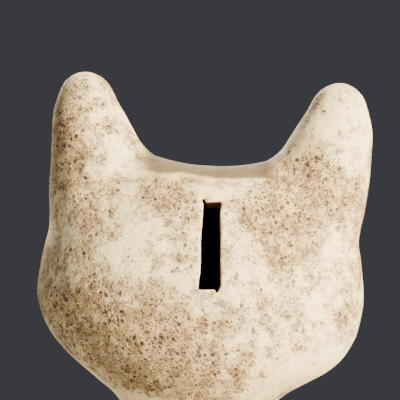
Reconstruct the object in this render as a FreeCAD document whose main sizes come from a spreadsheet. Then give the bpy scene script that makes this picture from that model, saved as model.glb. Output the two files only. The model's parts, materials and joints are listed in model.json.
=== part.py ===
import FreeCAD, Part
import math
import os

import Sketcher

# Ceramic cat coin bank, seated, facing -Y, standing on the XY plane.  Millimetres, +Z up.
#
# A hollow head casting (with both ears and the coin slot in the back of the skull) is luted at
# the neck to a hollow chest casting, and that at a level seam to a hollow belly casting.  The
# belly is closed underneath by a clay slab whose round hole takes a rubber stopper.  Forelegs,
# haunches, paws, tail, eyes and nose are clay pieces luted on with slip, and four felt pads keep
# the foot off the table.

V = FreeCAD.Vector

# --- driving dimensions ---------------------------------------------------------------------

DIMS = {
    "wall": 5.5,                # thickness of the castings
    "foot_plane": 2.0,          # height of the unglazed ceramic foot above the table
    "seam_height": 76.0,        # where the chest stands on the belly
    # coin slot, cut square to the sloping back of the skull
    "slot_long": 34.0,
    "slot_wide_top": 6.0,
    "slot_wide_foot": 7.3,
    "slot_height": 228.0,
    "slot_depth": 60.0,
    "slot_back": 36.5,
    "slot_tilt": 20.0,
    # clay slab that closes the body, and its stopper hole
    "slab_thick": 7.0,
    "hole_radius": 19.0,
    "hole_y": 3.0,
    "rebate_radius": 24.0,
    "rebate_deep": 3.6,
    # rubber stopper
    "plug_clearance": 0.08,
    "flange_radius": 23.0,
    "flange_thick": 2.4,
    "plug_tall": 12.0,
    "plug_taper": 0.9,
    "plug_skin": 2.6,
    "grip_wide": 4.5,
    "grip_tall": 6.0,
    # felt pads
    "pad_radius": 7.0,
    "pad_front_x": 15.0,
    "pad_front_y": -45.0,
    "pad_back_x": 26.0,
    "pad_back_y": 27.0,
    # haunches
    "haunch_x": 38.0,
    "haunch_y": 12.0,
    "haunch_z": 34.0,
    "haunch_rx": 25.0,
    "haunch_ry": 38.0,
    "haunch_rz": 34.0,
    # paws
    "front_paw_x": 14.5,
    "front_paw_y": -44.0,
    "front_paw_z": 10.0,
    "front_paw_rx": 12.0,
    "front_paw_ry": 16.0,
    "front_paw_rz": 11.5,
    "hind_paw_x": 39.5,
    "hind_paw_y": -26.0,
    "hind_paw_z": 9.0,
    "hind_paw_rx": 12.5,
    "hind_paw_ry": 21.0,
    "hind_paw_rz": 10.5,
    # tail, laid round the cat's left side from the rump to the front paw
    "tail_long_radius": 56.0,
    "tail_short_radius": 50.0,
    "tail_centre_y": 1.0,
    "tail_tuck": 0.055,
    "tail_root_radius": 9.2,
    "tail_tip_radius": 6.0,
    "tail_from": -4.0,
    "tail_to": 105.0,
    # muzzle
    "muzzle_x": 9.0,
    "muzzle_y": -41.0,
    "muzzle_z": 187.0,
    "muzzle_rx": 13.0,
    "muzzle_ry": 11.0,
    "muzzle_rz": 9.5,
    # nose
    "nose_y": -46.5,
    "nose_z": 194.5,
    "nose_rx": 5.6,
    "nose_ry": 4.2,
    "nose_rz": 3.8,
    # closed eyes
    "eye_x": 25.0,
    "eye_y": -39.0,
    "eye_z": 211.0,
    "eye_rx": 10.5,
    "eye_ry": 4.6,
    "eye_rz": 6.4,
    "eye_turn": -17.0,
}

# Level stations of the castings, from the bottom up: height, half width, back and front faces.
TORSO = [
    (-2.0, 46.0, 43.0, -37.5),
    (4.0, 48.5, 45.0, -38.5),
    (14.0, 53.0, 49.0, -40.0),
    (34.0, 54.5, 51.0, -38.5),
    (62.0, 51.0, 47.0, -37.0),
    (92.0, 43.5, 40.0, -37.5),
    (118.0, 35.5, 32.5, -35.0),
    (138.0, 29.0, 26.0, -30.0),
    (152.0, 25.4, 22.8, -26.4),
    (158.0, 24.5, 22.0, -25.5),
]
SKULL = [
    (158.0, 24.5, 22.0, -25.5),
    (165.0, 26.3, 24.0, -27.5),
    (172.0, 32.0, 28.5, -32.0),
    (180.0, 43.6, 33.5, -38.0),
    (189.0, 54.0, 37.7, -43.0),
    (199.0, 59.5, 40.3, -45.0),
    (210.0, 61.0, 40.6, -43.8),
    (222.0, 59.6, 38.4, -40.5),
    (235.0, 56.5, 33.6, -35.5),
    (246.0, 49.5, 27.6, -29.8),
    (252.5, 44.5, 22.4, -24.6),
    (256.0, 39.5, 17.0, -19.0),
    (257.4, 34.0, 11.0, -13.0),
]
# How far each station of the hollow rises above its outer station, to keep the wall even where
# the jaw slopes in to the neck.
SKULL_RISE = [0.0, 1.5, 4.0, 5.0, 3.5, 1.5, 0.0, -0.5, -1.5, -2.5, -4.0, -5.0, -5.5]
# Ear stations: height, centre x, half width, centre y, half depth.
EAR = [
    (229.0, 36.0, 17.5, 2.0, 23.0),
    (240.0, 38.6, 20.0, 2.5, 22.0),
    (250.0, 39.5, 19.7, 3.0, 19.0),
    (261.0, 41.2, 18.6, 3.5, 15.5),
    (270.0, 44.6, 15.3, 3.0, 12.0),
    (276.0, 45.9, 13.4, 2.6, 10.0),
    (281.0, 46.7, 11.5, 2.2, 8.3),
    (285.0, 47.2, 9.0, 2.0, 6.4),
    (288.0, 47.4, 5.8, 1.9, 4.2),
    (290.0, 47.5, 2.2, 1.9, 1.6),
]
EAR_HOLLOW = (2, 6)         # the ear's hollow runs from and to these stations
# Foreleg stations, as for the ears.
FORELEG = [
    (-2.0, 15.5, 11.5, -35.0, 13.0),
    (28.0, 15.0, 10.6, -33.5, 12.0),
    (68.0, 14.0, 11.2, -31.5, 12.4),
    (100.0, 12.5, 11.6, -28.0, 12.6),
    (122.0, 11.0, 9.0, -24.0, 10.4),
]

doc = FreeCAD.newDocument("cat_coin_bank")
sheet = doc.addObject("Spreadsheet::Sheet", "dims")
cells_used = 0


def cell(alias, value):
    """Keeps one driving dimension in the sheet, under its name."""
    global cells_used
    cells_used += 1
    sheet.set(f"A{cells_used}", alias)
    sheet.set(f"B{cells_used}", str(value))
    sheet.setAlias(f"B{cells_used}", alias)


def station_cells(name, rows, columns):
    for number, row in enumerate(rows, 1):
        for column, value in zip(columns, row):
            cell(f"{name}_{number}_{column}", value)


for alias, value in DIMS.items():
    cell(alias, value)
station_cells("torso", TORSO, ("height", "half", "back", "front"))
station_cells("skull", SKULL, ("height", "half", "back", "front"))
station_cells("skull_rise", [(rise,) for rise in SKULL_RISE], ("height",))
station_cells("ear", EAR, ("height", "centre", "half", "middle", "deep"))
station_cells("foreleg", FORELEG, ("height", "centre", "half", "middle", "deep"))
doc.recompute()


def number(expression):
    """The present value of an expression in the sheet's aliases."""
    found = sheet.evalExpression(expression)
    return float(getattr(found, "Value", found))


def bind(thing, **properties):
    """Sets each property from the sheet; a double underscore stands for a dot."""
    for name, expression in properties.items():
        thing.setExpression(name.replace("__", "."), expression)


# --- sketches and lofts ---------------------------------------------------------------------


def new_body(name):
    body = doc.addObject("PartDesign::Body", name)
    body.Label = name
    return body


def origin_plane(body, role):
    return next(f for f in body.Origin.OriginFeatures if f.Role == role)


def new_sketch(body, name, role="XY_Plane", lift="0"):
    """A sketch on one of the body's own origin planes, lifted along that plane's normal."""
    sketch = body.newObject("Sketcher::SketchObject", name)
    sketch.AttachmentSupport = [(origin_plane(body, role), "")]
    sketch.MapMode = "FlatFace"
    sketch.setExpression("AttachmentOffset.Base.z", lift)
    return sketch


def constrain(sketch, name, expression, *arguments):
    """Adds a driving constraint whose size is an expression."""
    kind, *where = arguments
    index = sketch.addConstraint(Sketcher.Constraint(kind, *where, number(expression)))
    sketch.renameConstraint(index, name)
    sketch.setExpression("Constraints." + name, expression)


def ellipse_sketch(body, name, height, half_x, half_y, centre_x, centre_y):
    """A level ellipse; every argument after the name is an expression."""
    sketch = new_sketch(body, name, lift=height)
    a, b = number(half_x), number(half_y)
    centre = V(number(centre_x), number(centre_y), 0)
    along_x = a >= b
    tip = centre + (V(a, 0, 0) if along_x else V(0, b, 0))
    side = centre + (V(0, b, 0) if along_x else V(-a, 0, 0))
    ellipse = sketch.addGeometry(Part.Ellipse(tip, side, centre))
    sketch.exposeInternalGeometry(ellipse)
    major, minor = ellipse + 1, ellipse + 2
    sketch.addConstraint(Sketcher.Constraint("Horizontal" if along_x else "Vertical", major))
    long_half, short_half = (half_x, half_y) if along_x else (half_y, half_x)
    constrain(sketch, "long_axis", f"2 * ({long_half})", "Distance", major)
    constrain(sketch, "short_axis", f"2 * ({short_half})", "Distance", minor)
    if centre_x == "0":
        sketch.addConstraint(Sketcher.Constraint("PointOnObject", ellipse, 3, -2))
    else:
        constrain(sketch, "centre_x", centre_x, "DistanceX", -1, 1, ellipse, 3)
    constrain(sketch, "centre_y", centre_y, "DistanceY", -1, 1, ellipse, 3)
    return sketch


def loft(body, name, sections):
    feature = body.newObject("PartDesign::AdditiveLoft", name)
    feature.Profile = sections[0]
    feature.Sections = sections[1:]
    doc.recompute()
    return feature


def face_to_face_sections(body, name, count, inset="0", rise=None):
    """Level ellipses given by their half width and by their back and front faces."""
    sections = []
    for n in range(1, count + 1):
        cells = f"dims.{name}_{n}"
        lift = f" + dims.{rise}_{n}_height" if rise else ""
        sections.append(
            ellipse_sketch(
                body,
                f"{name}_section_{n}",
                f"{cells}_height{lift}",
                f"{cells}_half - {inset}",
                f"({cells}_back - {cells}_front) / 2 - {inset}",
                "0",
                f"({cells}_back + {cells}_front) / 2",
            )
        )
    return sections


def limb_sections(body, name, first, last, inset="0"):
    """Level ellipses given by their centre and half sizes, on the cat's left (+X)."""
    return [
        ellipse_sketch(
            body,
            f"{name}_section_{n}",
            f"dims.{name}_{n}_height",
            f"dims.{name}_{n}_half - {inset}",
            f"dims.{name}_{n}_deep - {inset}",
            f"dims.{name}_{n}_centre",
            f"dims.{name}_{n}_middle",
        )
        for n in range(first, last + 1)
    ]


def mirror_left_to_right(body, feature):
    """Repeats a feature of the cat's left side on its right."""
    mirrored = body.newObject("PartDesign::Mirrored", feature.Name + "_right")
    mirrored.Originals = [feature]
    mirrored.MirrorPlane = (origin_plane(body, "YZ_Plane"), [""])
    body.Tip = mirrored
    doc.recompute()
    return mirrored


def ellipsoid(body, name, prefix, x="0"):
    """An ellipsoid feature sized by PREFIX_rx, _ry, _rz and placed by PREFIX_y, _z."""
    feature = body.newObject("PartDesign::AdditiveEllipsoid", name)
    bind(
        feature,
        Radius2=f"dims.{prefix}_rx",
        Radius3=f"dims.{prefix}_ry",
        Radius1=f"dims.{prefix}_rz",
        Placement__Base__x=x,
        Placement__Base__y=f"dims.{prefix}_y",
        Placement__Base__z=f"dims.{prefix}_z",
    )
    doc.recompute()
    return feature


def rectangle_sketch(body, name, half_x, half_y, lift, role="XY_Plane"):
    """A centred rectangle."""
    sketch = new_sketch(body, name, role, lift)
    x, y = number(half_x), number(half_y)
    corners = [V(-x, -y, 0), V(x, -y, 0), V(x, y, 0), V(-x, y, 0)]
    for start, end in zip(corners, corners[1:] + corners[:1]):
        sketch.addGeometry(Part.LineSegment(start, end))
    for side in range(4):
        sketch.addConstraint(Sketcher.Constraint("Coincident", side, 2, (side + 1) % 4, 1))
        kind = "Horizontal" if side % 2 == 0 else "Vertical"
        sketch.addConstraint(Sketcher.Constraint(kind, side))
    sketch.addConstraint(Sketcher.Constraint("Symmetric", 0, 1, 1, 2, -1, 1))
    constrain(sketch, "wide", f"2 * ({half_x})", "Distance", 0)
    constrain(sketch, "deep", f"2 * ({half_y})", "Distance", 1)
    return sketch


def circle_sketch(body, name, radius, lift, centre_y="dims.hole_y"):
    sketch = new_sketch(body, name, lift=lift)
    circle = Part.Circle(V(0, number(centre_y), 0), V(0, 0, 1), number(radius))
    sketch.addGeometry(circle)
    sketch.addConstraint(Sketcher.Constraint("PointOnObject", 0, 3, -2))
    constrain(sketch, "centre_y", centre_y, "DistanceY", -1, 1, 0, 3)
    constrain(sketch, "radius", radius, "Radius", 0)
    return sketch


def cut_below_foot(body):
    """Takes off whatever reaches below the foot plane."""
    whole = body.Shape.Volume
    pocket = body.newObject("PartDesign::Pocket", "foot_cut")
    pocket.Profile = rectangle_sketch(body, "below_foot", "100", "100", "dims.foot_plane")
    pocket.Length = 60
    doc.recompute()
    if body.Shape.Volume < whole / 2:
        pocket.Reversed = True
        doc.recompute()


def cut(name, base, tool):
    """What is left of base outside tool, as an object of its own."""
    result = doc.addObject("Part::Cut", name)
    result.Label = name
    result.Base = base
    result.Tool = tool
    doc.recompute()
    return result


# --- the castings -----------------------------------------------------------------------


def make_head_form():
    """The outside of the head casting, before it is drained and slotted."""
    body = new_body("head_form")
    loft(body, "skull", face_to_face_sections(body, "skull", len(SKULL)))
    mirror_left_to_right(body, loft(body, "ear", limb_sections(body, "ear", 1, len(EAR))))
    muzzle = ellipsoid(body, "muzzle", "muzzle", "dims.muzzle_x")
    mirror_left_to_right(body, muzzle)
    return body


def make_head_core():
    """The hollow that is left when the head's mould is drained."""
    body = new_body("head_core")
    count = len(SKULL)
    loft(body, "skull", face_to_face_sections(body, "skull", count, "dims.wall", "skull_rise"))
    hollow = loft(body, "ear", limb_sections(body, "ear", *EAR_HOLLOW, "dims.wall"))
    mirror_left_to_right(body, hollow)
    return body


def make_slot_knife():
    """A tapered blade that cuts the coin slot square to the back of the skull."""
    body = new_body("slot_knife")
    sketch = new_sketch(body, "slot_outline", "XZ_Plane")
    half_long = number("dims.slot_long / 2")
    top, foot = number("dims.slot_wide_top / 2"), number("dims.slot_wide_foot / 2")
    corners = [
        V(-foot, -half_long, 0),
        V(foot, -half_long, 0),
        V(top, half_long, 0),
        V(-top, half_long, 0),
    ]
    for start, end in zip(corners, corners[1:] + corners[:1]):
        sketch.addGeometry(Part.LineSegment(start, end))
    for side in range(4):
        sketch.addConstraint(Sketcher.Constraint("Coincident", side, 2, (side + 1) % 4, 1))
    for side in (0, 2):
        sketch.addConstraint(Sketcher.Constraint("Symmetric", side, 1, side, 2, -2))
    constrain(sketch, "foot_width", "dims.slot_wide_foot", "DistanceX", 0, 1, 0, 2)
    constrain(sketch, "top_width", "dims.slot_wide_top", "DistanceX", 2, 2, 2, 1)
    constrain(sketch, "below", "dims.slot_long / 2", "DistanceY", 0, 1, -1, 1)
    constrain(sketch, "above", "dims.slot_long / 2", "DistanceY", -1, 1, 2, 1)
    pad = body.newObject("PartDesign::Pad", "blade")
    pad.Profile = sketch
    pad.Midplane = True
    bind(pad, Length="dims.slot_depth")
    bind(
        body,
        Placement__Base__y="dims.slot_back",
        Placement__Base__z="dims.slot_height",
    )
    # The blade goes down as it goes in, because the skull's back faces a little upwards.
    turn = FreeCAD.Rotation(V(1, 0, 0), number("dims.slot_tilt"))
    body.Placement = FreeCAD.Placement(body.Placement.Base, turn)
    doc.recompute()
    return body


def make_torso_form():
    """The outside of the chest and belly castings."""
    body = new_body("torso_form")
    loft(body, "torso", face_to_face_sections(body, "torso", len(TORSO)))
    cut_below_foot(body)
    return body


def make_body_core():
    """The hollow of the chest and belly, open below for the slab and above for the neck."""
    body = new_body("body_core")
    loft(body, "torso", face_to_face_sections(body, "torso", len(TORSO), "dims.wall"))
    return body


def make_seam_block(name, depth):
    """A block that covers all the body above the seam, or below it if sunk by its own height."""
    block = doc.addObject("Part::Box", name)
    block.Label = name
    bind(
        block,
        Length="300",
        Width="300",
        Height="300",
        Placement__Base__x="-150",
        Placement__Base__y="-150",
        Placement__Base__z=f"dims.seam_height - {depth}",
    )
    doc.recompute()
    return block


head_form = make_head_form()
torso_form = make_torso_form()
head_hollowed = cut("head_hollowed", head_form, make_head_core())
slot_knife = make_slot_knife()
head_shell = cut("head_shell", head_hollowed, slot_knife)
body_core = make_body_core()
body_hollowed = cut("body_hollowed", torso_form, body_core)
belly_shell = cut("belly_shell", body_hollowed, make_seam_block("above_seam", "0"))
chest_shell = cut("chest_shell", body_hollowed, make_seam_block("below_seam", "300"))


# --- clay pieces luted on -------------------------------------------------------------------


def make_slab():
    """The slab that closes the body: cut to the hollow's outline, with a rebated hole."""
    blank = new_body("slab_blank")
    outline = rectangle_sketch(blank, "slab_outline", "60", "60", "dims.foot_plane")
    pad = blank.newObject("PartDesign::Pad", "slab")
    pad.Profile = outline
    bind(pad, Length="dims.slab_thick")
    doc.recompute()
    slab = doc.addObject("Part::Common", "slab_trimmed")
    slab.Base, slab.Tool = blank, body_core
    doc.recompute()
    drill = new_body("slab_drill")
    for name, radius, depth in (
        ("hole", "dims.hole_radius", "dims.slab_thick + 2"),
        ("rebate", "dims.rebate_radius", "dims.rebate_deep"),
    ):
        pad = drill.newObject("PartDesign::Pad", name)
        pad.Profile = circle_sketch(drill, name + "_circle", radius, "dims.foot_plane")
        bind(pad, Length=depth)
        doc.recompute()
    return cut("base_slab", slab, drill)


def mirrored(source):
    """The same piece on the cat's right."""
    name = source.Label.replace("left_", "right_")
    mirror = doc.addObject("Part::Mirroring", name)
    mirror.Label = name
    mirror.Source = source
    mirror.Normal = V(1, 0, 0)
    doc.recompute()
    return mirror


def make_foreleg():
    blank = new_body("foreleg_blank")
    loft(blank, "leg", limb_sections(blank, "foreleg", 1, len(FORELEG)))
    cut_below_foot(blank)
    return cut("left_foreleg", blank, torso_form)


def make_lump(name, *keep_outs):
    """A flattened ball of clay pressed against what is already there."""
    blank = new_body(name + "_blank")
    ellipsoid(blank, "ball", name, f"dims.{name}_x")
    cut_below_foot(blank)
    lump = blank
    for number_of_cut, keep_out in enumerate(keep_outs[:-1], 1):
        lump = cut(f"{name}_trim_{number_of_cut}", lump, keep_out)
    return cut("left_" + name, lump, keep_outs[-1])


def make_eye():
    """A closed eye: a shallow clay dome turned to follow the cheek."""
    blank = doc.addObject("Part::Ellipsoid", "eye_blank")
    bind(blank, Radius2="dims.eye_rx", Radius3="dims.eye_ry", Radius1="dims.eye_rz")
    turn = FreeCAD.Rotation(V(0, 0, 1), -number("dims.eye_turn"))
    blank.Placement = FreeCAD.Placement(V(0, 0, 0), turn)
    bind(
        blank,
        Placement__Base__x="dims.eye_x",
        Placement__Base__y="dims.eye_y",
        Placement__Base__z="dims.eye_z",
    )
    doc.recompute()
    return cut("left_eye", blank, head_form)


def make_nose():
    blank = new_body("nose_blank")
    ellipsoid(blank, "ball", "nose")
    return cut("nose", blank, head_form)


def make_tail(haunch):
    """A tapering coil laid on the table round the cat's left side, rounded at its tip."""
    rings = []
    stations = 9
    for n in range(stations):
        part_way = f"{n} / {stations - 1}"
        angle = f"(dims.tail_from + (dims.tail_to - dims.tail_from) * {part_way}) * 1deg"
        radius = (
            "dims.tail_tip_radius"
            f" + (dims.tail_root_radius - dims.tail_tip_radius) * {part_way}"
        )
        # The root bends in under the rump.
        tuck = f"(1 - {max(0, n + 3 - stations) ** 2} * dims.tail_tuck)"
        ring = doc.addObject("Part::Circle", f"tail_ring_{n + 1}")
        across = math.radians(number(angle))
        tangent = V(
            -number("dims.tail_long_radius") * math.sin(across),
            number("dims.tail_short_radius") * math.cos(across),
            0,
        )
        up = V(0, 0, 1)
        turn = FreeCAD.Rotation(up, tangent.cross(up), tangent, "ZXY")
        ring.Placement = FreeCAD.Placement(V(0, 0, 0), turn)
        bind(
            ring,
            Radius=radius,
            Placement__Base__x=f"dims.tail_long_radius * {tuck} * cos({angle})",
            Placement__Base__y=(
                f"dims.tail_centre_y + dims.tail_short_radius * {tuck} * sin({angle})"
            ),
            Placement__Base__z=f"dims.foot_plane + 0.2 + {radius}",
        )
        rings.append(ring)
    coil = doc.addObject("Part::Loft", "tail_coil")
    coil.Sections = rings
    coil.Solid = True
    tip = doc.addObject("Part::Sphere", "tail_tip")
    bind(tip, Radius="dims.tail_tip_radius")
    for axis in "xyz":
        tip.setExpression(f"Placement.Base.{axis}", f"tail_ring_1.Placement.Base.{axis}")
    rounded = doc.addObject("Part::Fuse", "tail_rounded")
    rounded.Base, rounded.Tool = coil, tip
    doc.recompute()
    trimmed = cut("tail_trimmed", rounded, haunch.Base)
    return cut("tail", trimmed, torso_form)


# --- stopper and pads -----------------------------------------------------------------------


def make_stopper():
    """A rubber cup with a flange, and a bar across its mouth to pull it out by."""
    body = new_body("stopper")
    underside = "dims.foot_plane + dims.rebate_deep - dims.flange_thick"
    plug = body.newObject("PartDesign::Revolution", "cup")
    sketch = new_sketch(body, "cup_half", "XZ_Plane")
    hole = number("dims.hole_radius - dims.plug_clearance")
    taper, skin = number("dims.plug_taper"), number("dims.plug_skin")
    flange, thick = number("dims.flange_radius"), number("dims.flange_thick")
    tall = number("dims.plug_tall")
    low = number(underside)
    top = low + thick + tall
    profile = [
        ("axis_top", V(0, top, 0)),
        ("plug_top", V(hole - taper, top, 0)),
        ("plug_root", V(hole, low + thick, 0)),
        ("flange_top", V(flange, low + thick, 0)),
        ("flange_foot", V(flange, low, 0)),
        ("mouth", V(hole - skin, low, 0)),
        ("cup_floor", V(hole - skin - taper, top - skin, 0)),
        ("axis_floor", V(0, top - skin, 0)),
    ]
    points = [point for _, point in profile]
    for start, end in zip(points, points[1:] + points[:1]):
        sketch.addGeometry(Part.LineSegment(start, end))
    last = len(points)
    for side in range(last):
        sketch.addConstraint(Sketcher.Constraint("Coincident", side, 2, (side + 1) % last, 1))
    for side in (0, 2, 4, 6):
        sketch.addConstraint(Sketcher.Constraint("Horizontal", side))
    for side in (3, 7):
        sketch.addConstraint(Sketcher.Constraint("Vertical", side))
    sketch.addConstraint(Sketcher.Constraint("PointOnObject", 0, 1, -2))
    hole_size = "dims.hole_radius - dims.plug_clearance"
    for name, expression, kind, point in (
        ("top_radius", f"{hole_size} - dims.plug_taper", "DistanceX", 1),
        ("root_radius", hole_size, "DistanceX", 2),
        ("flange_size", "dims.flange_radius", "DistanceX", 3),
        ("mouth_radius", f"{hole_size} - dims.plug_skin", "DistanceX", 5),
        ("floor_radius", f"{hole_size} - dims.plug_skin - dims.plug_taper", "DistanceX", 6),
        ("top_level", f"{underside} + dims.flange_thick + dims.plug_tall", "DistanceY", 0),
        ("shoulder_level", f"{underside} + dims.flange_thick", "DistanceY", 2),
        ("low_level", underside, "DistanceY", 4),
        (
            "floor_level",
            f"{underside} + dims.flange_thick + dims.plug_tall - dims.plug_skin",
            "DistanceY",
            6,
        ),
    ):
        constrain(sketch, name, expression, kind, -1, 1, point, 1)
    plug.Profile = sketch
    plug.ReferenceAxis = (sketch, ["V_Axis"])
    plug.Angle = 360
    doc.recompute()
    bar = body.newObject("PartDesign::Pad", "pull_bar")
    half_span = f"{hole_size} - dims.plug_skin - dims.plug_taper / 2"
    bar.Profile = rectangle_sketch(body, "bar", half_span, "dims.grip_wide / 2", underside)
    bind(bar, Length="dims.grip_tall")
    bind(body, Placement__Base__y="dims.hole_y")
    doc.recompute()
    return body


def make_pad(name, side, end):
    """A felt disc glued under the foot."""
    pad = doc.addObject("Part::Cylinder", name)
    pad.Label = name
    bind(
        pad,
        Radius="dims.pad_radius",
        Height="dims.foot_plane",
        Placement__Base__x=f"{side} * dims.pad_{end}_x",
        Placement__Base__y=f"dims.pad_{end}_y",
    )
    doc.recompute()
    return pad


base_slab = make_slab()
left_foreleg = make_foreleg()
left_haunch = make_lump("haunch", torso_form)
left_front_paw = make_lump("front_paw", torso_form, left_foreleg)
left_hind_paw = make_lump("hind_paw", torso_form, left_haunch)
left_pieces = [left_foreleg, left_haunch, left_front_paw, left_hind_paw, make_eye()]
right_pieces = [mirrored(piece) for piece in left_pieces]
nose = make_nose()
tail = make_tail(left_haunch)
stopper = make_stopper()
pads = [
    make_pad(f"{side_name}_{end}_pad", side, end)
    for end in ("front", "back")
    for side_name, side in (("left", 1), ("right", -1))
]

# --- check and write ------------------------------------------------------------------------

for thing in doc.Objects:
    if {"Invalid", "Error"} & set(thing.State):
        raise RuntimeError(f"{thing.Name}: {thing.State}")

os.makedirs("parts", exist_ok=True)
nodes = [head_shell, chest_shell, belly_shell, base_slab, *left_pieces, *right_pieces, nose, tail]
nodes += [stopper, *pads]
for node in nodes:
    shape = node.Shape
    if shape.isNull() or not shape.isValid() or len(shape.Solids) != 1:
        raise RuntimeError(f"{node.Label}: {len(shape.Solids)} solids, valid {shape.isValid()}")
    shape.exportStep(f"parts/{node.Label}.step")
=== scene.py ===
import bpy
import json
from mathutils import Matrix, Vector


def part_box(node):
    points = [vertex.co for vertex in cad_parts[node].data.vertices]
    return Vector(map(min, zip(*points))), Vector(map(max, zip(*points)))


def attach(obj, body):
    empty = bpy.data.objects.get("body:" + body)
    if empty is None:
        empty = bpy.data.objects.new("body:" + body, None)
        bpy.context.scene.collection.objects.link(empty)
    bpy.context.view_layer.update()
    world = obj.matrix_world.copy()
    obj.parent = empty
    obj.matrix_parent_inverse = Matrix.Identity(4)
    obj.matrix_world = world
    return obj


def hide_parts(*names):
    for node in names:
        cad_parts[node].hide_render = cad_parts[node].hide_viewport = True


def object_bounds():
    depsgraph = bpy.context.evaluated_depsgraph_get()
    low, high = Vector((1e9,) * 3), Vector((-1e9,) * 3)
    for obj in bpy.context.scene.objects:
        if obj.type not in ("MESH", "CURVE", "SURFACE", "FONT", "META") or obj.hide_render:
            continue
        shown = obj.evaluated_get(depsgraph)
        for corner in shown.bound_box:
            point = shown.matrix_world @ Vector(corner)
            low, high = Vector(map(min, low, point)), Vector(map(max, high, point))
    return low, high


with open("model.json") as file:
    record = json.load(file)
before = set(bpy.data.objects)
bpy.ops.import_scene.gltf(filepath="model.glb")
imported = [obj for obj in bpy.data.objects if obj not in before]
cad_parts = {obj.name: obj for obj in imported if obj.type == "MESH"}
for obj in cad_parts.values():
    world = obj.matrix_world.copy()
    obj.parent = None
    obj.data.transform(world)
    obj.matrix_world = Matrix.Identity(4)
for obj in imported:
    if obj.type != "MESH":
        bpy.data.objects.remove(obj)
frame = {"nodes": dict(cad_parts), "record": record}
cad_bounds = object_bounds()

import copy
import json
import math

import bpy
import numpy as np
import openvdb
from mathutils import Matrix, Vector

# Forms are worked out in millimetres, as fields of distance to the clay's surface (negative
# inside), and meshed in metres.
MM = 0.001
WALL = 5.5
NECK = 158.0
SEAM = 76.0
FOOT = 2.0
# The slab that closes the belly, its hole, and the rebate for the stopper's flange.
SLAB = 7.0
HOLE_Y = 3.0
HOLE_RADIUS = 19.0
REBATE_RADIUS = 24.0
REBATE = 3.6
FLANGE = 2.4
# The slot is square to the back of the skull, which faces upwards by this many degrees.
SLOT_MIDDLE = (36.5, 230.1)
SLOT_SLOPE = 20.0
SLOT_HALF_LONG = 16.2
SLOT_REACH = 22.0
PAD_FIBRES = 160
FLOOR_RADIUS = 1.0
FLOOR_SIDES = 96
# Where the photograph's camera stands: distance, width of view at that distance, and the point
# it aims at, in metres, the last as a share of the cat's height; rise and roll in degrees.
CAMERA_FAR = 0.80
CAMERA_WIDTH = 0.1494
CAMERA_AIM = (0.0027, 0.842)
CAMERA_RISE = 2.0
CAMERA_ROLL = 2.7


# --- fields -------------------------------------------------------------------------------


class Grid:
    """A block of evenly spaced points, in millimetres."""

    def __init__(self, low, high, step):
        self.low, self.step = np.array(low, float), step
        count = [int(math.ceil((b - a) / step)) + 1 for a, b in zip(low, high)]
        axes = [a + step * np.arange(n, dtype=np.float32) for a, n in zip(low, count)]
        self.x = axes[0].astype(np.float32)[:, None, None]
        self.y = axes[1].astype(np.float32)[None, :, None]
        self.z = axes[2].astype(np.float32)[None, None, :]
        self.shape = tuple(count)

    def distance(self, field):
        """Turns a field that is zero on the surface into a distance near that surface."""
        field = np.broadcast_to(field, self.shape).astype(np.float32)
        slope = np.zeros(self.shape, np.float32)
        for axis in range(3):
            slope += np.gradient(field, self.step, axis=axis) ** 2
        return field / np.maximum(np.sqrt(slope), 1e-3)


def curve(table, column, at):
    """A smooth curve through one column of a table whose first column rises."""
    xs = np.array([row[0] for row in table], float)
    ys = np.array([row[column] for row in table], float)
    steps = np.diff(xs)
    rates = np.diff(ys) / steps
    slopes = np.empty_like(ys)
    slopes[0], slopes[-1] = rates[0], rates[-1]
    for i in range(1, len(ys) - 1):
        if rates[i - 1] * rates[i] <= 0:
            slopes[i] = 0
        else:
            before, after = 2 * steps[i] + steps[i - 1], steps[i] + 2 * steps[i - 1]
            slopes[i] = (before + after) / (before / rates[i - 1] + after / rates[i])
    at = np.clip(at, xs[0], xs[-1])
    i = np.clip(np.searchsorted(xs, at) - 1, 0, len(steps) - 1)
    f = (at - xs[i]) / steps[i]
    value = (
        (1 + 2 * f) * (1 - f) ** 2 * ys[i]
        + f * (1 - f) ** 2 * steps[i] * slopes[i]
        + f**2 * (3 - 2 * f) * ys[i + 1]
        + f**2 * (f - 1) * steps[i] * slopes[i + 1]
    )
    return value.astype(np.float32)


def join(a, b, blend):
    """Smooth union."""
    h = np.clip(0.5 + 0.5 * (b - a) / blend, 0, 1)
    return b + (a - b) * h - blend * h * (1 - h)


def carve(a, b, blend):
    """Takes b away from a, with a soft edge."""
    return -join(-a, b, blend)


def column(g, half, middle, deep, power):
    """An upright column of oval level sections."""
    x = np.abs(g.x / half)
    y = np.abs((g.y - middle) / deep)
    reach = (x**power + y**power + 1e-9) ** (1 / power)
    return g.distance((reach - 1) * np.minimum(half, deep))


def ball(g, centre, radii, turn=0.0):
    """An ellipsoid, turned about +Z by an angle in degrees."""
    c, s = math.cos(math.radians(turn)), math.sin(math.radians(turn))
    x, y, z = g.x - centre[0], g.y - centre[1], g.z - centre[2]
    u, v = c * x + s * y, -s * x + c * y
    k0 = np.sqrt((u / radii[0]) ** 2 + (v / radii[1]) ** 2 + (z / radii[2]) ** 2 + 1e-9)
    k1 = np.sqrt(
        (u / radii[0] ** 2) ** 2 + (v / radii[1] ** 2) ** 2 + (z / radii[2] ** 2) ** 2 + 1e-9
    )
    return (k0 * (k0 - 1) / k1).astype(np.float32)


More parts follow.
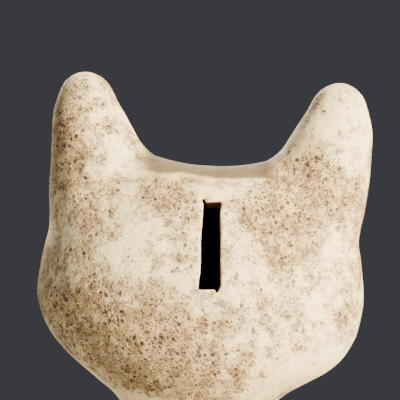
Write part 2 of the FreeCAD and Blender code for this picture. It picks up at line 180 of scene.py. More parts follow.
def rope(g, points, radii):
    """A round rope through points, with its own radius at each."""
    best = np.full(g.shape, 1e3, np.float32)
    for (p, q), (r0, r1) in zip(zip(points, points[1:]), zip(radii, radii[1:])):
        p, q = np.array(p, float), np.array(q, float)
        along = q - p
        x, y, z = g.x - p[0], g.y - p[1], g.z - p[2]
        t = (x * along[0] + y * along[1] + z * along[2]) / (along @ along)
        t = np.clip(t, 0, 1)
        far = np.sqrt(
            (x - t * along[0]) ** 2 + (y - t * along[1]) ** 2 + (z - t * along[2]) ** 2
        )
        best = np.minimum(best, far - (r0 + (r1 - r0) * t))
    return best


def corners(f):
    """The eight corners of a cell, each with its weight at a place f of the way across."""
    for i in (0, 1):
        for j in (0, 1):
            for k in (0, 1):
                weight = (
                    (f[:, 0] if i else 1 - f[:, 0])
                    * (f[:, 1] if j else 1 - f[:, 1])
                    * (f[:, 2] if k else 1 - f[:, 2])
                )
                yield i, j, k, weight


def waves(points, size, seed):
    """Smooth random values between about -1 and 1, with bumps about size apart."""
    table = np.random.default_rng(seed).uniform(-1, 1, 4096).astype(np.float32)
    p = points / size
    base = np.floor(p).astype(np.int64)
    f = p - base
    f = f * f * (3 - 2 * f)
    total = 0
    for i, j, k, weight in corners(f):
        at = (base[:, 0] + i) * 73 + (base[:, 1] + j) * 1409 + (base[:, 2] + k) * 2711
        total = total + weight * table[at % len(table)]
    return total


# --- the cat's forms ------------------------------------------------------------------------

# height, half width, back, front
TORSO = [
    (-6.0, 46.0, 43.0, -37.5),
    (4.0, 48.5, 45.0, -38.5),
    (14.0, 52.5, 48.5, -40.0),
    (34.0, 54.2, 50.6, -38.5),
    (62.0, 50.8, 46.7, -37.0),
    (92.0, 43.4, 39.8, -37.3),
    (118.0, 35.4, 32.4, -34.8),
    (138.0, 28.9, 25.9, -29.9),
    (152.0, 25.4, 22.8, -26.4),
    (158.0, 24.6, 22.1, -25.6),
    (164.0, 25.6, 23.2, -26.8),
]
SKULL = [
    (150.0, 25.4, 22.8, -26.4),
    (158.0, 24.6, 22.1, -25.6),
    (165.0, 26.6, 24.0, -27.6),
    (171.0, 31.0, 27.6, -31.4),
    (177.0, 39.1, 32.0, -36.0),
    (183.0, 47.9, 35.8, -40.0),
    (189.0, 54.0, 38.2, -43.0),
    (198.0, 58.9, 40.3, -45.0),
    (209.0, 61.0, 40.8, -44.0),
    (220.0, 59.9, 39.0, -41.2),
    (231.0, 57.6, 35.6, -37.4),
    (242.0, 52.8, 31.0, -32.6),
    (254.0, 45.0, 24.6, -26.4),
    (266.0, 36.0, 17.0, -19.0),
]
# The crown dips between the ears: its height in the middle, and the rise at a distance out.
CROWN = 256.9
CROWN_RISE = (22.4, 3.4)
# height, centre x, half width, middle y, half depth
EAR = [
    (196.0, 24.0, 5.0, 0.0, 6.0),
    (212.0, 30.0, 12.0, 1.0, 16.0),
    (224.0, 34.2, 16.8, 1.8, 21.0),
    (236.0, 37.8, 20.0, 2.4, 21.0),
    (248.0, 39.6, 19.5, 3.0, 18.6),
    (258.0, 40.7, 18.6, 3.3, 16.2),
    (266.0, 43.4, 16.1, 3.2, 13.9),
    (274.0, 45.6, 13.6, 2.8, 11.6),
    (281.0, 46.8, 10.6, 2.3, 9.2),
    (290.0, 47.4, 7.2, 1.8, 6.6),
]
# x, y, height, radius
FORELEG = [
    (15.5, -35.3, 0, 11.8),
    (15.2, -34.6, 22, 10.5),
    (14.8, -33.0, 48, 10.6),
    (14.0, -31.2, 76, 11.6),
    (12.6, -28.4, 100, 10.6),
    (11.0, -24.5, 117, 7.5),
]
# Above this height the ear closes in a dome, which ends at the tip.
EAR_DOME = 281.5
EAR_TIP = 290.0
# The head is a little crooked: height, and how far its middle lies towards the left.
LEAN = [
    (158, 0.0),
    (168, 0.9),
    (174, 0.8),
    (184, -0.9),
    (193, -0.1),
    (207, 0.9),
    (226, 0.75),
    (242, 0.1),
    (260, -0.7),
    (290, -0.2),
]


def lean(g):
    """The same block, measured sideways from the head's own middle line."""
    leaning = copy.copy(g)
    leaning.x = g.x - curve(LEAN, 1, g.z)
    return leaning


def skull_field(g):
    half, back, front = (curve(SKULL, i, g.z) for i in (1, 2, 3))
    body = column(g, half, (back + front) / 2, (back - front) / 2, power=2.15)
    out, rise = CROWN_RISE
    crown = CROWN + rise * np.clip(np.abs(g.x) / out, 0, 1.5) ** 2.2
    return carve(body, np.broadcast_to(crown - g.z, g.shape), 9.0)


def ear_field(g, side):
    centre, half, middle, deep = (curve(EAR, i, g.z) for i in (1, 2, 3, 4))
    rise = np.clip((g.z - EAR_DOME) / (EAR_TIP - EAR_DOME), 0, None)
    x = (g.x - side * centre) / half
    y = (g.y - middle) / deep
    reach = np.sqrt(x**2 + y**2 + rise**3 + 1e-9)
    field = g.distance((reach - 1) * np.minimum(half, deep))
    return np.maximum(field, EAR[0][0] - g.z)


def strokes(g, lines, half_wide):
    """Lines drawn on the face in the XZ plane; each is a list of points."""
    best = np.full((g.shape[0], 1, g.shape[2]), 1e3, np.float32)
    for line in lines:
        for p, q in zip(line, line[1:]):
            along = (q[0] - p[0], q[1] - p[1])
            x, z = g.x - p[0], g.z - p[1]
            t = np.clip((x * along[0] + z * along[1]) / (along[0] ** 2 + along[1] ** 2), 0, 1)
            far = np.sqrt((x - t * along[0]) ** 2 + (z - t * along[1]) ** 2)
            best = np.minimum(best, far - half_wide)
    return best


def incise(g, field, lines, half_wide, deep):
    """Scores lines in to the front of the head with a blunt tool."""
    cut = np.maximum(strokes(g, lines, half_wide), -(field + deep))
    cut = np.maximum(cut, g.y + 15.0)
    return carve(field, cut, 0.7)


MOUTH = [
    [(0, 191.5), (0, 186.5)],
    [(0, 186.5), (2.5, 184.0), (6.0, 183.0), (9.5, 184.0), (11.5, 186.5)],
    [(0, 186.5), (-2.5, 184.0), (-6.0, 183.0), (-9.5, 184.0), (-11.5, 186.5)],
]
WHISKERS = [
    [(side * x0, z0), (side * (x0 + x1) / 2, (z0 + z1) / 2 - 0.7), (side * x1, z1)]
    for side in (1, -1)
    for x0, z0, x1, z1 in ((20, 191, 37, 196), (21, 187, 38, 188), (20, 183.5, 35, 181))
]


def skin_field(g):
    """The head without its nose and eyes."""
    g = lean(g)
    ears = np.minimum(ear_field(g, 1), ear_field(g, -1))
    field = join(skull_field(g), ears, 3.6)
    for side in (1, -1):
        field = join(field, ball(g, (side * 8.5, -40.0, 187.5), (12.0, 10.0, 8.6)), 5.0)
        hollow = ball(g, (side * 43.6, -15.5, 262.0), (8.8, 8.6, 17.5), side * 12)
        field = carve(field, hollow, 4.0)
    return join(field, ball(g, (0, -38.0, 179.0), (8.0, 7.0, 6.0)), 6.0)


def nose_field(g):
    g = lean(g)
    wide = ball(g, (0, -47.2, 195.2), (5.6, 4.0, 3.3))
    tip = ball(g, (0, -47.4, 192.6), (2.8, 3.4, 3.0))
    return join(wide, tip, 2.0)


def eye_field(g, side):
    g = lean(g)
    return ball(g, (side * 25.0, -39.2, 211.0), (10.3, 4.6, 6.2), side * 17.0)


def torso_field(g):
    half, back, front = (curve(TORSO, i, g.z) for i in (1, 2, 3))
    return column(g, half, (back + front) / 2, (back - front) / 2, power=2.1)


def foreleg_field(g, side):
    points = [(side * x, y, z) for x, y, z, _ in FORELEG]
    return rope(g, points, [row[3] for row in FORELEG])


def haunch_field(g, side):
    return ball(g, (side * 38.0, 12.0, 34.0), (24.6, 37.6, 33.6))


def toes(g, field, centre, spread, radius, bow):
    """Four toes across the front of a paw."""
    toe_line = np.full(g.shape, 1e3, np.float32)
    for i in (-1.5, -0.5, 0.5, 1.5):
        spot = (centre[0] + i * spread, centre[1] + bow * i * i, centre[2] - 0.35 * i * i)
        toe_line = join(toe_line, ball(g, spot, (radius, radius * 1.5, radius)), 0.9)
    return join(field, toe_line, 2.2)


def front_paw_field(g, side):
    paw = ball(g, (side * 14.5, -42.5, 9.8), (11.6, 15.0, 11.2))
    return toes(g, paw, (side * 14.5, -52.0, 7.6), 5.4, 4.3, 1.3)


def hind_paw_field(g, side):
    paw = ball(g, (side * 39.5, -25.0, 9.0), (12.2, 20.0, 10.3))
    return toes(g, paw, (side * 39.5, -39.0, 7.2), 5.5, 4.3, 1.6)


def tail_field(g):
    points, radii = [], []
    for n in range(41):
        part = n / 40
        angle = math.radians(-4 + 109 * part)
        tuck = 1 - 0.055 * max(0.0, part * 8 - 6) ** 2
        radius = 6.0 + 3.2 * part + 0.35 * math.sin(9 * part)
        points.append((
            56 * tuck * math.cos(angle),
            1 + 50 * tuck * math.sin(angle),
            FOOT + 0.2 + radius,
        ))
        radii.append(radius)
    return rope(g, points, radii)


# --- pieces that share one skin ---------------------------------------------------------------


def one_sided(make, side):
    """The field of a piece that is made twice, on one side only."""
    return lambda g: make(g, side)


# Each piece luted to the body: its field, and the width of the smear of slip round it.
LUTED = {}
for side_name, side in (("left", 1), ("right", -1)):
    for end, make, smear in (
        ("foreleg", foreleg_field, 5.0),
        ("haunch", haunch_field, 6.0),
        ("front_paw", front_paw_field, 2.5),
        ("hind_paw", hind_paw_field, 2.5),
    ):
        LUTED[f"{side_name}_{end}"] = (one_sided(make, side), smear)
LUTED["tail"] = (tail_field, 3.0)
FACE = {
    "nose": (nose_field, 1.0),
    "left_eye": (one_sided(eye_field, 1), 1.2),
    "right_eye": (one_sided(eye_field, -1), 1.2),
}
SET_IN = 1.0
# The castings run this far past their level seams, which are smoothed over.
OVERLAP = 1.2


def box_mm(node):
    """A CAD node's box in millimetres."""
    return (np.array(corner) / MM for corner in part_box(node))


def near(g, node, reach=4.0):
    """Whether a CAD node's box comes near a grid."""
    low, high = box_mm(node)
    top = g.low + g.step * (np.array(g.shape) - 1)
    return bool(np.all(low - reach < top) and np.all(high + reach > g.low))


def shared_skin(g, core, pieces):
    """The whole smooth skin, and each piece's own field, as far as they come near the grid."""
    own = {name: make(g) for name, (make, _) in pieces.items() if near(g, name)}
    skin = core
    for name, field in own.items():
        skin = join(skin, field, pieces[name][1])
    return skin, own


def nearest(fields, g):
    """The union of the fields, with no blend."""
    best = np.full(g.shape, 1e3, np.float32)
    for field in fields:
        best = np.minimum(best, field)
    return best


def casting(g, core, pieces):
    """The casting under the luted pieces, with the skin it shares with them."""
    skin, own = shared_skin(g, core, pieces)
    share = np.minimum(core + SET_IN, core - nearest(own.values(), g))
    return skin, np.maximum(skin, share)


def luted(g, core, pieces, name):
    """One luted piece: where it is nearest to the skin, down to a little inside the casting."""
    skin, own = shared_skin(g, core, pieces)
    others = nearest([f for n, f in own.items() if n != name], g)
    share = np.maximum(own[name] - np.minimum(others, core), -(core + SET_IN))
    return skin, np.maximum(skin, share)


def grid_round(node, step, margin=5.0):
    """A grid that covers a CAD node's box with room to spare."""
    low, high = box_mm(node)
    return Grid(low - margin, high + margin, step)


# --- meshes ---------------------------------------------------------------------------------


def put_in_scene(name, data):
    thing = bpy.data.objects.new(name, data)
    bpy.context.scene.collection.objects.link(thing)
    return thing


def mesh_field(name, g, field, body, ripple, seed):
    """Makes the surface where a field is zero, as a smooth-shaded piece in metres.

    The surface is then pushed in and out by up to ripple, like clay worked by hand.
    """
    volume = openvdb.FloatGrid(30.0)
    volume.copyFromArray(np.ascontiguousarray(field, dtype=np.float32))
    volume.transform = openvdb.createLinearTransform(1.0)
    points, quads = volume.convertToQuads(0.0)
    points = np.asarray(points, float) * g.step + g.low
    quads = np.asarray(quads)[:, ::-1]
    mesh = bpy.data.meshes.new(name)
    mesh.from_pydata((points * MM).tolist(), [], quads.tolist())
    mesh.update()
    mesh.validate()
    for polygon in mesh.polygons:
        polygon.use_smooth = True
    normals = np.zeros(len(points) * 3)
    mesh.vertices.foreach_get("normal", normals)
    push = waves(points, 17.0, seed) * 0.65 + waves(points, 6.0, seed + 1) * 0.35
    points = points + normals.reshape(-1, 3) * (ripple * push)[:, None]
    mesh.vertices.foreach_set("co", (points * MM).ravel())
    mesh.update()
    piece = put_in_scene(name, mesh)
    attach(piece, body)
    return piece


def sample(g, field, points):
    """A field's values at points, in millimetres."""
    p = (points - g.low) / g.step
    top = np.array(g.shape) - 2
    base = np.clip(np.floor(p).astype(int), 0, top)
    f = np.clip(p - base, 0, 1)
    total = 0
    for i, j, k, weight in corners(f):
        total = total + weight * field[base[:, 0] + i, base[:, 1] + j, base[:, 2] + k]
    return total


def depth_attribute(piece, g, outer):
    """Stores how far each point lies under the glazed skin, in millimetres."""
    mesh = piece.data
    points = np.zeros(len(mesh.vertices) * 3)
    mesh.vertices.foreach_get("co", points)
    depth = -sample(g, outer, points.reshape(-1, 3) / MM)
    layer = mesh.attributes.new("depth", "FLOAT", "POINT")
    layer.data.foreach_set("value", depth.astype(np.float32))


def slot_cut(g):
    """The coin slot: cut by hand with a knife, a little crooked, wider at its foot."""
    slope = math.radians(SLOT_SLOPE)
    cy, cz = SLOT_MIDDLE
    up = (g.z - cz) * math.cos(slope) - (g.y - cy) * math.sin(slope)
    out = (g.z - cz) * math.sin(slope) + (g.y - cy) * math.cos(slope)
    middle = -1.9 + 0.014 * up + 0.12 * np.sin(up / 5.0)
    half = 3.45 - 0.022 * up + 0.10 * np.sin(up / 2.7 + 1.0)
    across = np.abs(g.x - middle) - half
    ends = np.abs(up + 0.06 * (g.x + 1.6)) - SLOT_HALF_LONG
    through = np.abs(out) - SLOT_REACH
    cut = np.maximum(np.maximum(across, ends), through)
    # The knife ran past two of the corners.
    for x, u in ((1.3, 16.6), (-4.8, -16.5)):
        nick = np.maximum(np.abs(g.x - x) - 0.5, np.abs(up - u) - 0.9)
        cut = np.minimum(cut, np.maximum(nick, through))
    return cut


def settle(piece, g, skin, node):
    """Makes a clay piece stand in for its CAD node."""
    depth_attribute(piece, g, skin)
    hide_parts(node)
    return piece


def make_head():
    """The head casting, with its slot, mouth and whiskers."""
    g = Grid((-64, -58, NECK - 3), (64, 45, 293), 0.8)
    core = skin_field(g)
    skin, shell = casting(g, core, FACE)
    # The clay is thicker round the head of the slot.
    thicker = 2.6 * np.exp(-(((g.x + 1.6) / 10) ** 2) - ((g.z - 243) / 9) ** 2) * (g.y > 0)
    shell = np.maximum(shell, -(core + WALL + thicker))
    shell = incise(g, shell, MOUTH, 0.75, 1.2)
    shell = incise(g, shell, WHISKERS, 0.55, 0.8)
    shell = carve(shell, slot_cut(g), 0.5)
    shell = np.maximum(shell, NECK - OVERLAP - g.z)
    piece = mesh_field("head", g, shell, "figurine", ripple=0.28, seed=11)
    return settle(piece, g, skin, "head_shell")


def make_face_piece(name):
    """The nose, or an eye with its closed lid scored in."""
    g = grid_round(name, 0.45, 3.0)
    skin, clay = luted(g, skin_field(g), FACE, name)
    if name.endswith("eye"):
        side = 1 if name.startswith("left") else -1
        lid = [(side * (25 + 10.5 * t), 209.6 - 3.0 * (1 - t * t)) for t in np.linspace(-1, 1, 9)]
        clay = incise(g, clay, [lid], 0.55, 1.1)
    piece = mesh_field(name + "_clay", g, clay, "figurine", ripple=0.1, seed=11)
    return settle(piece, g, skin, name)


def make_casting(name, node, low, high):
    """The part of the hollow body between two heights."""
    g = Grid((-66, -64, low - 4), (66, 64, high + 3), 1.0)
    core = torso_field(g)
    skin, shell = casting(g, core, LUTED)
    shell = np.maximum(shell, -(core + WALL))
    above, below = g.z - high - OVERLAP, low - OVERLAP - g.z
    shell = np.maximum(shell, np.maximum(above, below))
    shell = carve(shell, np.broadcast_to(g.z - FOOT, g.shape), 1.5)
    piece = mesh_field(name, g, shell, "figurine", ripple=0.28, seed=11)
    return settle(piece, g, skin, node)


def make_luted_piece(name):
    """A leg, haunch, paw or the tail."""
    g = grid_round(name, 0.8)
    skin, clay = luted(g, torso_field(g), LUTED, name)
    clay = carve(clay, np.broadcast_to(g.z - FOOT, g.shape), 1.5)
    piece = mesh_field(name + "_clay", g, clay, "figurine", ripple=0.28, seed=11)
    return settle(piece, g, skin, name)


def from_hole(g):
    """How far out from the upright middle line of the slab's hole."""
    return np.sqrt(g.x**2 + (g.y - HOLE_Y) ** 2)


def make_slab():
    """The slab that closes the belly: raw clay, smoothed round its rebated hole."""
    g = Grid((-50, -42, -1), (50, 48, 12), 0.7)
    skin = torso_field(g)
    slab = np.maximum(skin + WALL + 0.15, np.maximum(FOOT - g.z, g.z - FOOT - SLAB))
    slab = carve(slab, from_hole(g) - HOLE_RADIUS, 0.8)
    rebate = np.maximum(from_hole(g) - REBATE_RADIUS, g.z - FOOT - REBATE)
    slab = carve(slab, rebate, 0.8)
    piece = mesh_field("slab", g, slab, "figurine", ripple=0.1, seed=15)
    return settle(piece, g, skin, "base_slab")


def make_stopper():
    """A rubber cup with a flange and a pull bar, its edges rounded by the mould."""
    g = Grid((-25, HOLE_Y - 25, 1), (25, HOLE_Y + 25, 20), 0.4)
    # The plug's radius at the flange, the cup's inside it, how far both narrow, and the roof.
    plug_radius, cup_radius, taper, roof = 18.85, 16.3, 0.9, 2.6
    flange_radius, height = 22.9, 14.4
    bar_half_thick, bar_half_high, bar_middle, bar_reach = 2.1, 2.8, 3.2, 17.5
    low = FOOT + REBATE - FLANGE
    shoulder, top = low + FLANGE, low + height
    out = from_hole(g)
    up = np.clip((g.z - shoulder) / (top - shoulder), 0, 1)
    plug = np.maximum(out - (plug_radius - taper * up), g.z - top)
    flange = np.maximum(out - flange_radius, g.z - shoulder)
    solid = join(plug, flange, 0.6)
    # Five shallow grip rings run round the plug.
    rings = 0.16 * np.cos((g.z - shoulder) * 2 * math.pi / 2.4)
    solid = np.where(g.z > shoulder + 1.0, solid - rings + 0.16, solid)
    solid = carve(solid, np.broadcast_to(g.z - low, g.shape), 0.6)
    hollow = np.maximum(out - (cup_radius - taper * up), g.z - top + roof)
    solid = carve(solid, hollow, 0.8)
    bar_sides = np.abs(g.y - HOLE_Y) - bar_half_thick
    bar = np.maximum(bar_sides, np.abs(g.z - low - bar_middle) - bar_half_high)
    bar = np.maximum(bar, out - bar_reach)
    solid = join(solid, bar, 0.8)
    piece = mesh_field("stopper_moulded", g, solid, "stopper", ripple=0.04, seed=16)
    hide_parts("stopper")
    return piece


def make_pad(name):
    """A felt disc with a soft, slightly squashed rim, and the loose fibres round it."""
    low, high = box_mm(name)
    middle, radius = (low + high) / 2, (high[0] - low[0]) / 2
    g = Grid(low - 1.2, high + 1.2, 0.25)
    angle = np.arctan2(g.y - middle[1], g.x - middle[0])
    shake = np.random.default_rng(int(abs(middle[0] * 7 + middle[1])))
    edge = radius - 0.25
    for turns in (3, 5, 9, 14):
        edge = edge + 0.07 * np.sin(turns * angle + shake.uniform(0, 6))
    out = np.sqrt((g.x - middle[0]) ** 2 + (g.y - middle[1]) ** 2) - edge
    tall = np.abs(g.z - middle[2]) - (high[2] - low[2]) / 2
    puck = carve(out, -tall, 0.9)
    piece = mesh_field(name + "_felt", g, puck, "figurine", ripple=0.06, seed=17)
    # Each fibre is a thin spike of three faces.
    points, faces = [], []
    for _ in range(PAD_FIBRES):
        turn = shake.uniform(0, 2 * math.pi)
        height = shake.uniform(low[2] + 0.3, high[2] - 0.3)
        root = np.array([math.cos(turn), math.sin(turn), 0.0])
        base = np.array([*middle[:2], height]) + root * (radius - 0.6)
        side = np.array([-root[1], root[0], 0.0])
        sweep = side * shake.uniform(-0.9, 0.9) + root * shake.uniform(0.3, 0.9)
        tip = base + sweep + np.array([0, 0, shake.uniform(-0.2, 0.2)])
        first = len(points)
        points += [base - side * 0.04, base + side * 0.04, base + np.array([0, 0, 0.07]), tip]
        for a, b in ((0, 1), (1, 2), (2, 0)):
            faces.append((first + a, first + b, first + 3))
    mesh = bpy.data.meshes.new(name + "_fibres")
    mesh.from_pydata([tuple(p * MM) for p in points], [], faces)
    fibres = put_in_scene(name + "_fibres", mesh)
    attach(fibres, "figurine")
    for thing in (piece, fibres):
        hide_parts(name)
    return piece, fibres


# --- materials ------------------------------------------------------------------------------


class Nodes:
    """Short names for building one material."""

    def __init__(self, name):
        self.material = bpy.data.materials.new(name)
        self.material.use_nodes = True
        self.tree = self.material.node_tree
        self.tree.nodes.clear()

    def put(self, socket, value):
        """Sets a socket to a plain value, or links it to another node's output."""
        if isinstance(value, bpy.types.NodeSocket):
            self.tree.links.new(value, socket)
        else:
            socket.default_value = value

    def add(self, kind, settings=(), **inputs):
        node = self.tree.nodes.new(kind)
        for key, value in dict(settings).items():
            setattr(node, key, value)
        for key, value in inputs.items():
            self.put(node.inputs[key.replace("_", " ")], value)
        return node

    def math(self, operation, *values, clamp=False):
        node = self.add("ShaderNodeMath", {"operation": operation, "use_clamp": clamp})
        for socket, value in zip(node.inputs, values):
            self.put(socket, value)
        return node.outputs[0]

    def product(self, first, *others):
        """All the values multiplied together."""
        for value in others:
            first = self.math("MULTIPLY", first, value)
        return first

    def vector(self, operation, *values):
        node = self.add("ShaderNodeVectorMath", {"operation": operation})
        for socket, value in zip(node.inputs, values):
            self.put(socket, value)
        return node.outputs[0]

    def noise(self, where, size, detail=2.0, roughness=0.5, distortion=0.0, out="Fac"):
        """Noise whose features are about size millimetres across."""
        node = self.add(
            "ShaderNodeTexNoise",
            Vector=where,
            Scale=1000.0 / size,
            Detail=detail,
            Roughness=roughness,
            Distortion=distortion,
        )
        return node.outputs[out]

    def cells(self, where, size, feature="F1"):
        """Irregular cells about size millimetres across."""
        settings = {"feature": feature}
        node = self.add("ShaderNodeTexVoronoi", settings, Vector=where, Scale=1000.0 / size)
        return node.outputs

    def step(self, value, low, high):
        """0 below low, 1 above high, smooth between; high may be the lower of the two."""
        node = self.add("ShaderNodeMapRange", {"interpolation_type": "SMOOTHSTEP", "clamp": True})
        self.put(node.inputs["Value"], value)
        self.put(node.inputs["From Min"], low)
        self.put(node.inputs["From Max"], high)
        return node.outputs[0]

    def mix(self, amount, a, b):
        node = self.add("ShaderNodeMix", {"data_type": "RGBA"})
        self.put(node.inputs[0], amount)
        self.put(node.inputs[6], a)
        self.put(node.inputs[7], b)
        return node.outputs[2]

    def finish(self, **inputs):
        shader = self.add("ShaderNodeBsdfPrincipled", **inputs)
        output = self.add("ShaderNodeOutputMaterial")
        self.tree.links.new(shader.outputs[0], output.inputs[0])
        return self.material


def rgb(r, g, b):
    """A colour given in 0-255 steps of the usual display scale."""
    return tuple(((v / 255 + 0.055) / 1.055) ** 2.4 for v in (r, g, b)) + (1.0,)


# Where the dark pitted slip gathers thickly: centre in millimetres, reach, strength.
PITTED = [
    ((54, 10, 264), 16, 0.9),
    ((52, 12, 246), 15, 0.8),
    ((44, 30, 230), 15, 0.5),
    ((-31, 16, 250), 15, 1.0),
    ((-44, 14, 250), 16, 0.8),
    ((-29, 31, 241), 16, 1.0),
    ((-36, 30, 226), 13, 0.7),
    ((16, 36, 193), 18, 0.9),
    ((0, 34, 182), 19, 0.9),
    ((30, 34, 184), 17, 0.8),
    ((12, 30, 246), 10, 0.7),
    ((-8, 38, 206), 10, 0.5),
    ((55, 8, 212), 16, 0.8),
    ((44, 26, 196), 18, 1.0),
    ((34, 34, 206), 14, 0.6),
    ((-20, -36, 232), 14, 0.7),
    ((-20, 34, 240), 10, 0.6),
    ((30, -40, 190), 12, 0.6),
    ((0, -40, 120), 20, 0.7),
    ((40, 40, 60), 22, 0.8),
    ((-46, 20, 36), 20, 0.8),
]


def shake(n, where):
    """The same place, moved a little at random, so that patterns get ragged edges."""
    jitter = n.noise(where, 1.3, 2.0, out="Color")
    jitter = n.vector("SUBTRACT", jitter, (0.5, 0.5, 0.5))
    jitter = n.vector("MULTIPLY", jitter, (0.0016, 0.0016, 0.0016))
    return n.vector("ADD", where, jitter)


def slip_richness(n, where, patch):
    """How thickly the dark slip gathers: 0 on clean slip, 1 where it shows most."""
    local = 0.0
    for centre, reach, strength in PITTED:
        away = n.vector("SUBTRACT", where, tuple(v * MM for v in centre))
        far = n.add("ShaderNodeVectorMath", {"operation": "LENGTH"}, Vector=away).outputs[1]
        near_by = n.step(far, reach * 1.5 * MM, 0.0)
        local = n.math("ADD", local, n.product(near_by, strength))
    drift = n.noise(where, 24.0, 3.0, 0.6)
    rich = n.math("MULTIPLY_ADD", local, 0.42, drift)
    rich = n.math("MULTIPLY_ADD", patch, 0.62, rich)
    return n.step(rich, 0.68, 1.18)


def round_pits(n, shaken, rich):
    """Round pits of two sizes. Each cell has its own chance and size."""
    pits = 0.0
    for size, few, many, small, spread in (
        (1.05, 0.11, 0.66, 0.15, 0.20),
        (2.3, 0.00, 0.60, 0.13, 0.20),
    ):
        cell = n.cells(shaken, size)
        odds = n.add("ShaderNodeSeparateColor", Color=cell["Color"]).outputs
        limit = n.math("MULTIPLY_ADD", rich, many, few)
        there = n.step(n.math("SUBTRACT", odds[0], limit), 0.02, -0.02)
        radius = n.math("MULTIPLY_ADD", odds[1], spread, small)
        dot = n.step(n.math("SUBTRACT", cell["Distance"], radius), 0.09, -0.05)
        pits = n.math("MAXIMUM", pits, n.product(there, dot))
    return pits


def worms_and_cracks(n, where, shaken, rich):
    """Short curling worms, and a broken network of hair cracks."""
    worms = n.math("ABSOLUTE", n.math("SUBTRACT", n.noise(shaken, 2.3, 2.0, 0.5, 1.0), 0.5))
    worms = n.step(worms, 0.060, 0.024)
    gaps = n.step(n.noise(where, 2.4, 1.0), 0.46, 0.56)
    worms = n.product(worms, gaps, n.step(rich, 0.02, 0.45))
    edge = n.cells(shaken, 3.6, "DISTANCE_TO_EDGE")["Distance"]
    cracks = n.step(edge, 0.055, 0.02)
    breaks = n.step(n.noise(where, 4.2, 2.0), 0.48, 0.58)
    cracks = n.product(cracks, breaks, n.step(rich, 0.0, 0.4))
    return n.math("MAXIMUM", n.product(worms, 0.70), n.product(cracks, 0.55))


def crown_rim(n, where):
    """How much a place is on the wiped rim of the crown, whose top is darkened as painted shade,
    and on the stained line under it.
    """
    place = n.add("ShaderNodeSeparateXYZ", Vector=where).outputs
    on_rim = n.step(n.math("ABSOLUTE", place["X"]), 0.030, 0.020)
    wave = n.math("MULTIPLY_ADD", n.noise(where, 14.0, 2.0), 0.004, place["Z"])
    wiped_and_shaded_rim = n.product(on_rim, n.step(wave, 0.2545, 0.2565))
    under = n.math("ABSOLUTE", n.math("SUBTRACT", wave, 0.2535))
    return wiped_and_shaded_rim, n.product(n.step(under, 0.0026, 0.0004), on_rim)


def stoneware():
    n = Nodes("stoneware")
    where = n.add("ShaderNodeTexCoord").outputs["Object"]
    shaken = shake(n, where)
    patch = n.noise(where, 6.0, 3.0, 0.6, 0.4)
    rich = slip_richness(n, where, patch)
    pits = round_pits(n, shaken, rich)
    lines = worms_and_cracks(n, where, shaken, rich)

    # A soft tan stain round them, which breaks up at its edges.
    halo = n.step(n.noise(shaken, 4.4, 4.0, 0.62, 0.3), 0.38, 0.62)
    fine = n.noise(where, 1.1, 3.0, 0.6)
    stain = n.product(halo, n.math("MULTIPLY_ADD", rich, 1.00, 0.10))
    stain = n.math("MULTIPLY", stain, n.math("MULTIPLY_ADD", fine, 0.9, 0.5), clamp=True)

    cream = n.mix(n.noise(where, 30.0, 3.0, 0.5), rgb(250, 215, 154), rgb(255, 235, 180))
    speck = n.step(n.noise(where, 0.95, 3.0, 0.65), 0.50, 0.70)
    cream = n.mix(n.product(speck, 0.50), cream, rgb(170, 122, 72))
    cream = n.mix(n.product(rich, 0.80), cream, rgb(184, 148, 98))
    warm = n.mix(n.noise(where, 7.0, 2.0), rgb(166, 130, 78), rgb(122, 92, 54))
    colour = n.mix(n.product(stain, 0.80), cream, warm)

    # The wiped rim of the crown: fewer pits, painted shade in dark brown over its top, and a
    # stained line under it.
    wiped_and_shaded_rim, under = crown_rim(n, where)
    # Painted shade: the top of the crown is darkened to dark brown where the light falls off it.
    colour = n.mix(n.product(wiped_and_shaded_rim, 0.9), colour, rgb(80, 62, 40))
    colour = n.mix(n.product(under, n.math("MULTIPLY_ADD", halo, 0.5, 0.3)), colour, warm)
    bare = n.math("SUBTRACT", 1.0, n.product(wiped_and_shaded_rim, 0.8))

    dark = n.product(n.math("MAXIMUM", pits, lines), bare)
    umber = n.mix(n.noise(where, 5.0, 1.0), rgb(32, 19, 9), rgb(70, 43, 20))
    strength = n.math("MULTIPLY_ADD", rich, 0.26, 0.70)
    colour = n.mix(n.product(dark, strength), colour, umber)

    # Raw clay where the wall is cut through, inside, and under the foot.
    depth = n.add("ShaderNodeAttribute", {"attribute_name": "depth"}).outputs["Fac"]
    raw = n.step(n.math("ADD", depth, n.product(patch, 0.5)), 0.75, 1.35)
    clay = n.mix(n.noise(where, 1.2, 3.0, 0.6), rgb(74, 34, 20), rgb(112, 60, 38))
    colour = n.mix(raw, colour, clay)

    grain = n.noise(where, 0.7, 3.0, 0.65)
    lumps = n.noise(where, 4.0, 3.0, 0.5)
    height = n.product(grain, 0.22)
    height = n.math("MULTIPLY_ADD", lumps, 0.50, height)
    height = n.math("MULTIPLY_ADD", dark, -0.40, height)
    height = n.math("MULTIPLY_ADD", stain, -0.10, height)
    bump = n.add("ShaderNodeBump", Height=height, Distance=MM, Strength=0.9)
    rough = n.math("MULTIPLY_ADD", stain, 0.12, 0.62)
    rough = n.math("MULTIPLY_ADD", grain, 0.12, rough)
    return n.finish(Base_Color=colour, Roughness=rough, Normal=bump.outputs[0])


def rubber():
    n = Nodes("stopper_rubber")
    where = n.add("ShaderNodeTexCoord").outputs["Object"]
    fine = n.noise(where, 0.5, 3.0)
    dust = n.step(n.noise(where, 6.0, 3.0), 0.5, 0.8)
    colour = n.mix(n.product(dust, 0.4), rgb(38, 37, 36), rgb(74, 72, 68))
    bump = n.add("ShaderNodeBump", Height=fine, Distance=0.05 * MM, Strength=0.6)
    rough = n.math("MULTIPLY_ADD", dust, 0.2, 0.55)
    return n.finish(Base_Color=colour, Roughness=rough, Normal=bump.outputs[0])


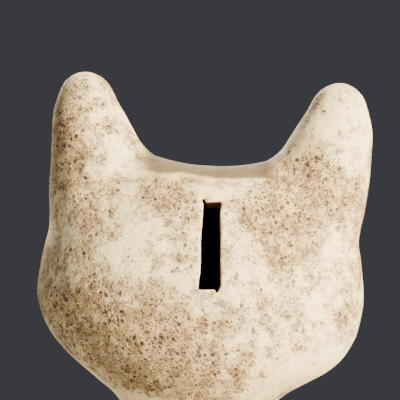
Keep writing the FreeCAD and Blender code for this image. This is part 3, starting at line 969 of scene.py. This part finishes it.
def felt():
    n = Nodes("pad_felt")
    where = n.add("ShaderNodeTexCoord").outputs["Object"]
    fibres = n.noise(where, 0.45, 4.0, 0.7, 2.5)
    clumps = n.noise(where, 2.5, 2.0)
    colour = n.mix(fibres, rgb(58, 72, 52), rgb(96, 112, 86))
    colour = n.mix(n.product(clumps, 0.3), colour, rgb(44, 54, 40))
    bump = n.add("ShaderNodeBump", Height=fibres, Distance=0.25 * MM, Strength=0.8)
    return n.finish(
        Base_Color=colour, Roughness=0.95, Normal=bump.outputs[0], Sheen_Weight=0.4
    )


FINISHES = {"stoneware": stoneware(), "rubber": rubber(), "felt": felt()}


def dress(thing, finish):
    """Gives a piece the finish of one material slot."""
    material = FINISHES[finish]
    thing.data.materials.clear()
    thing.data.materials.append(material)


clay_pieces = [
    make_head(),
    make_casting("chest", "chest_shell", SEAM, NECK),
    make_casting("belly", "belly_shell", 0.0, SEAM),
    make_slab(),
]
clay_pieces += [make_luted_piece(name) for name in LUTED]
clay_pieces += [make_face_piece(name) for name in FACE]
for piece in clay_pieces:
    dress(piece, "stoneware")
dress(make_stopper(), "rubber")
for name in frame["nodes"]:
    if name.endswith("_pad"):
        for piece in make_pad(name):
            dress(piece, "felt")
slots = {entry["node"]: entry["material_slot"] for entry in frame["record"]["subparts"]}
for name, node in frame["nodes"].items():
    dress(node, slots[name])


# --- floor, light and camera ------------------------------------------------------------------


def make_floor():
    """A plain round floor."""
    mesh = bpy.data.meshes.new("floor")
    turns = [2 * math.pi * i / FLOOR_SIDES for i in range(FLOOR_SIDES)]
    ring = [(FLOOR_RADIUS * math.cos(t), FLOOR_RADIUS * math.sin(t), 0) for t in turns]
    mesh.from_pydata(ring, [], [tuple(range(FLOOR_SIDES))])
    floor = put_in_scene("floor", mesh)
    n = Nodes("floor_paint")
    where = n.add("ShaderNodeTexCoord").outputs["Object"]
    colour = n.mix(n.noise(where, 180.0, 3.0), rgb(146, 145, 142), rgb(156, 155, 152))
    mesh.materials.append(n.finish(Base_Color=colour, Roughness=0.8))


def make_lamp(name, place, aim, size, power, colour):
    """A round lamp that points at a place."""
    lamp = bpy.data.lights.new(name, "AREA")
    lamp.shape = "DISK"
    lamp.size = size
    lamp.energy = power
    lamp.color = colour
    thing = put_in_scene(name, lamp)
    thing.location = place
    thing.rotation_euler = (Vector(aim) - Vector(place)).to_track_quat("-Z", "Y").to_euler()


def make_camera():
    """The photograph's camera, behind the cat and level with its head."""
    low, high = cad_bounds
    tall = high[2] - low[2]
    aim = Vector((CAMERA_AIM[0], 0.0, CAMERA_AIM[1] * tall))
    rise = math.radians(CAMERA_RISE)
    roll = math.radians(CAMERA_ROLL)
    out = Vector((0, math.cos(rise), math.sin(rise)))
    right = Vector((-1, 0, 0))
    up = out.cross(right)
    rolled_up = up * math.cos(roll) - right * math.sin(roll)
    rolled_right = right * math.cos(roll) + up * math.sin(roll)
    turn = Matrix((rolled_right, rolled_up, out)).transposed().to_4x4()
    camera = put_in_scene("camera", bpy.data.cameras.new("camera"))
    camera.data.sensor_width = 36.0
    camera.data.lens = camera.data.sensor_width * CAMERA_FAR / CAMERA_WIDTH
    camera.data.clip_start = 0.02
    camera.matrix_world = Matrix.Translation(aim + out * CAMERA_FAR) @ turn
    bpy.context.scene.camera = camera


world = bpy.data.worlds.new("studio")
world.use_nodes = True
world.node_tree.nodes["Background"].inputs[0].default_value = rgb(62, 63, 68)
world.node_tree.nodes["Background"].inputs[1].default_value = 1.0
bpy.context.scene.world = world

make_floor()
make_lamp("key", (-1.35, 1.15, 0.95), (0, 0, 0.2), 0.5, 235, (1.0, 0.91, 0.76))
make_lamp("fill", (1.3, 0.7, 0.5), (0, 0, 0.2), 0.9, 7, (0.80, 0.92, 1.0))
make_lamp("front", (0.5, -1.3, 0.9), (0, 0, 0.15), 0.9, 48, (1.0, 0.93, 0.84))
make_camera()
